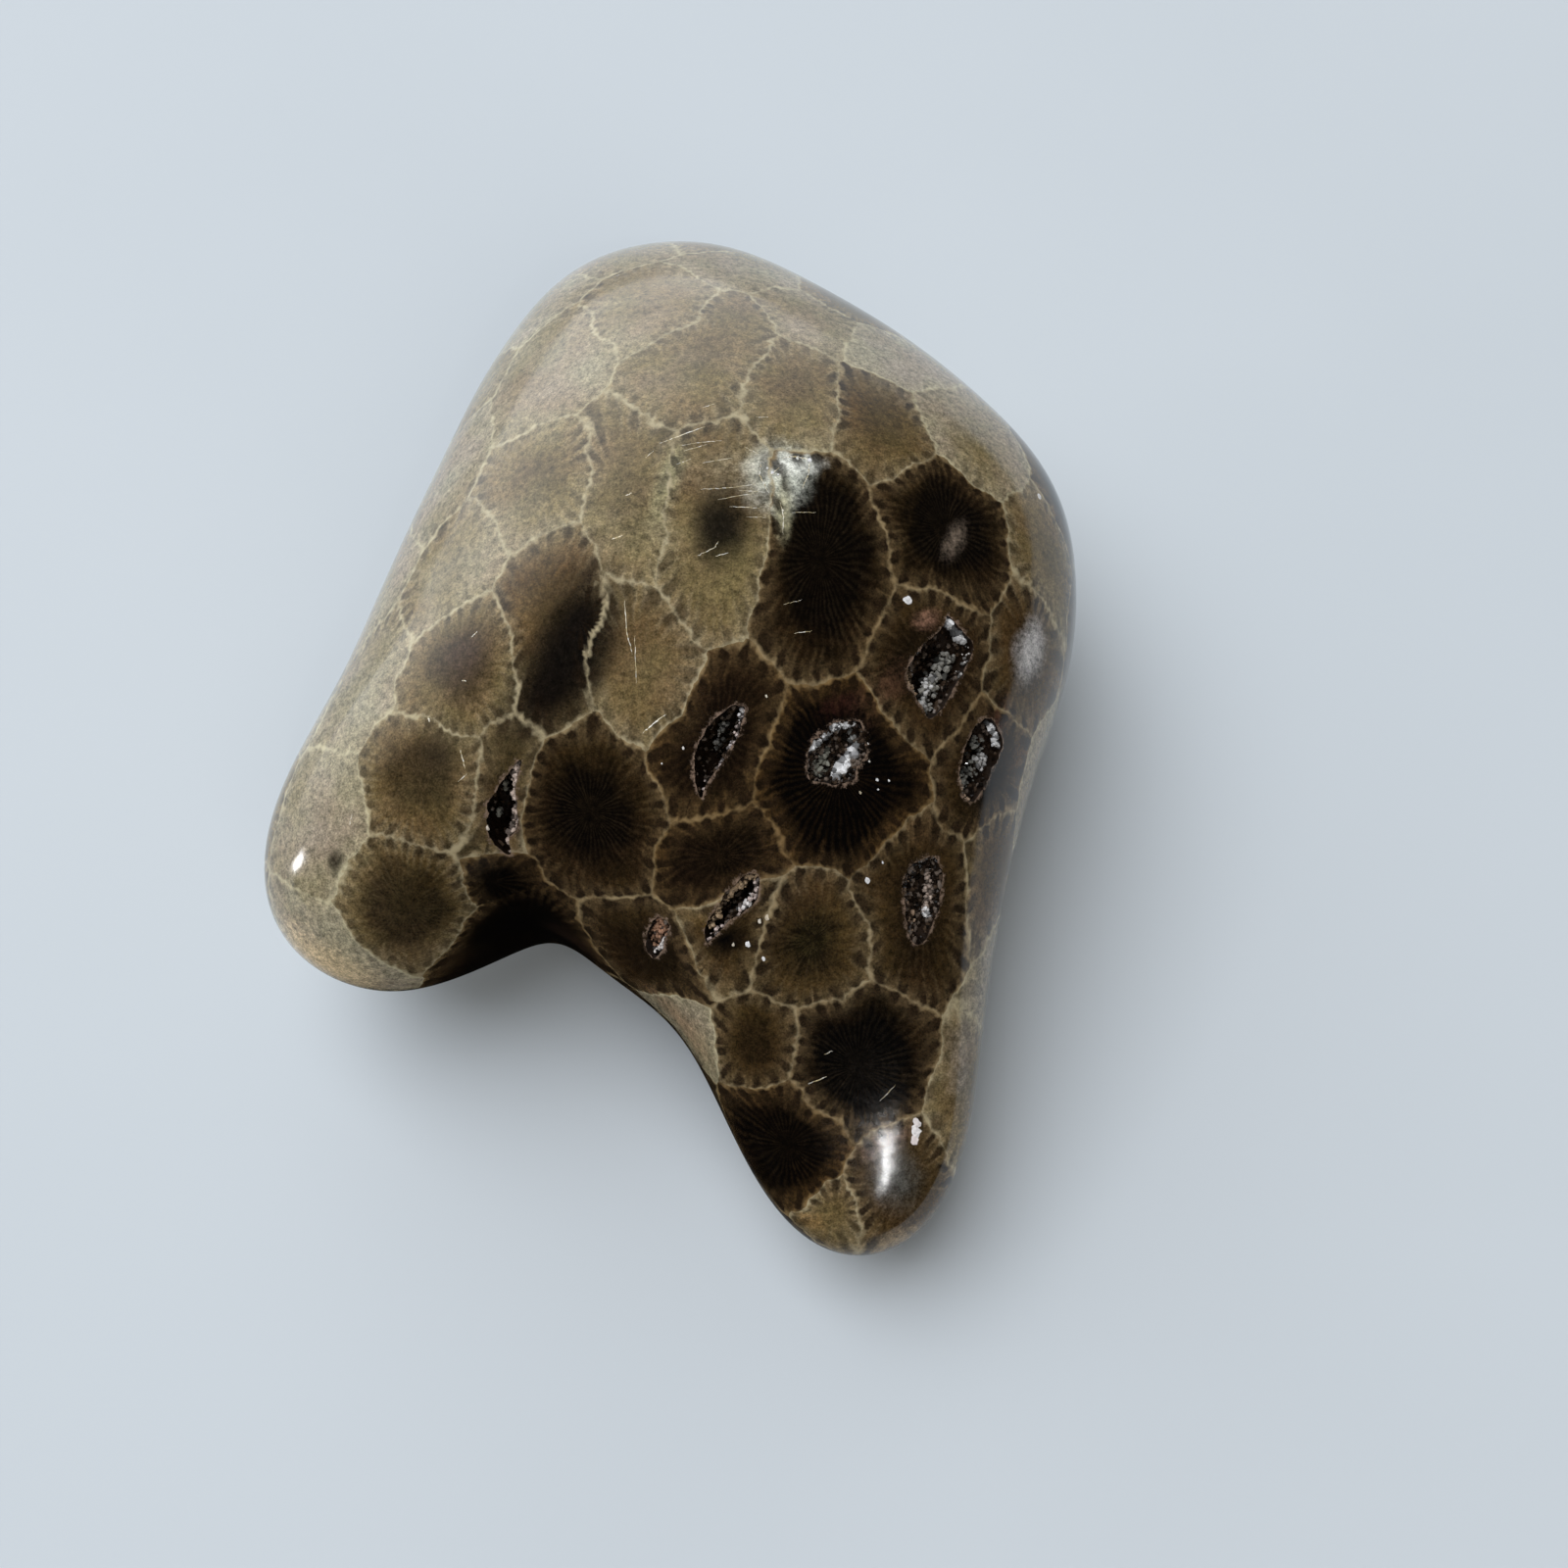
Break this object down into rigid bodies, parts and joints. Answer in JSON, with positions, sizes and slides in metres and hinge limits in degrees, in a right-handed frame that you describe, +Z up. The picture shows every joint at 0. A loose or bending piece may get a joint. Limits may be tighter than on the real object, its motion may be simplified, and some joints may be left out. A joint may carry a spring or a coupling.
{
  "type": "fossil coral",
  "caption": "Polished pebble of fossil honeycomb coral, lying flat: broad domed body, short rounded lobe, and a longer leg tapering beside a shallow bay.",
  "frame": {"origin": "under the middle of the stone's box, on the plane it rests on", "axes": "+Z up, +Y along the stone towards the broad domed end, -Y towards the tip of the narrow leg, +X to the side away from the short lobe"},
  "size_m": [0.0434, 0.0566, 0.0225],
  "materials": {
    "polished_coral": "polished limestone, tan cell walls round brown to black cells"
  },
  "bodies": {
    "root": {"polished_coral_stone": "polished_coral"}
  },
  "joints": []
}
